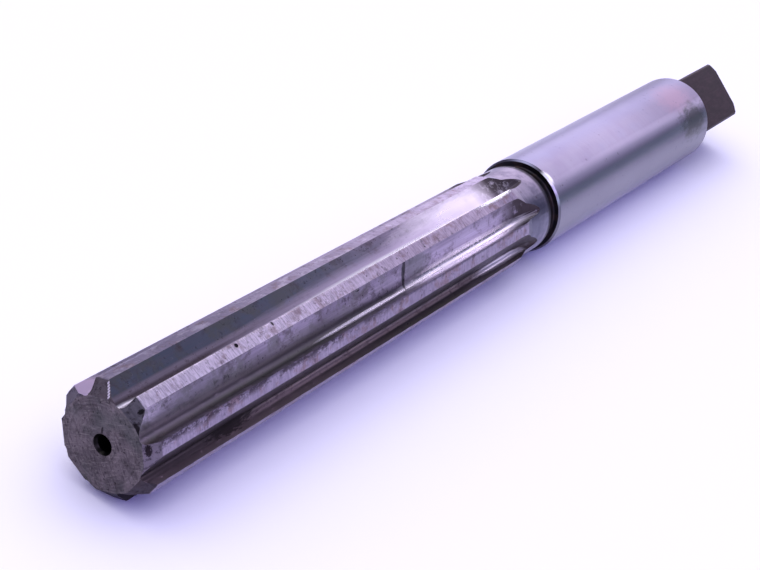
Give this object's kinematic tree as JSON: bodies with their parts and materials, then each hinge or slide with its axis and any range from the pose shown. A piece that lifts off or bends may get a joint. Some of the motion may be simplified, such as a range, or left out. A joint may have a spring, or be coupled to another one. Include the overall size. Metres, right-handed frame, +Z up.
{
  "type": "hand reamer",
  "caption": "Straight-fluted right-hand-cut hand reamer in one piece, with a bevelled cutting end, relieved teeth, a turned neck, a grinding groove, a plain shank and a square drive.",
  "frame": {"origin": "on the surface that the tool lies on, below the middle of its length", "axes": "+X along the tool axis towards the cutting end, the square drive towards -X, +Z up; the tool lies on the shank and on the two teeth beside its lowest flute"},
  "size_m": [0.1778, 0.0158, 0.0158],
  "materials": {
    "steel": "ground and polished tool steel, worn, with brown-black stains and pits in the flutes"
  },
  "bodies": {
    "root": {"reamer": "steel"}
  },
  "joints": []
}
